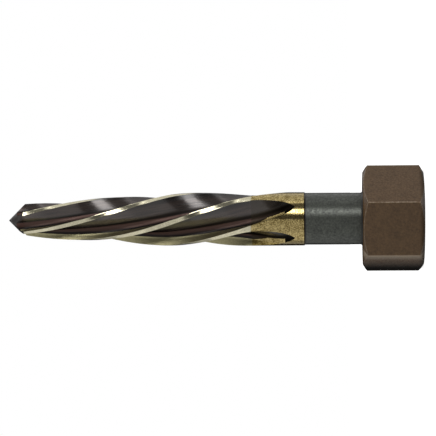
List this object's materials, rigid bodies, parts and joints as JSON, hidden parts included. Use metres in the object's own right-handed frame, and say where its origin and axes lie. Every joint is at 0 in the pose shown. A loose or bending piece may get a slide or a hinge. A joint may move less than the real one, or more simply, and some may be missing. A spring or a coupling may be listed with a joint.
{
  "type": "taper reamer",
  "caption": "Taper reamer for lining up bolt holes, with left-hand spiral flutes, a short cone point, a plain neck and a hexagon head for an impact socket.",
  "frame": {"origin": "centre of the hexagon head's end face, on which the tool stands", "axes": "+Z along the tool's axis from the head to the point; +Y square to one of the head's flats"},
  "size_m": [0.042, 0.0366, 0.1618],
  "materials": {
    "tool_steel": "heat-treated and darkened tool steel: brown head, grey neck, dark flutes, bright ground lands and a bronze band behind them"
  },
  "bodies": {
    "root": {"taper_reamer": "tool_steel"}
  },
  "joints": []
}
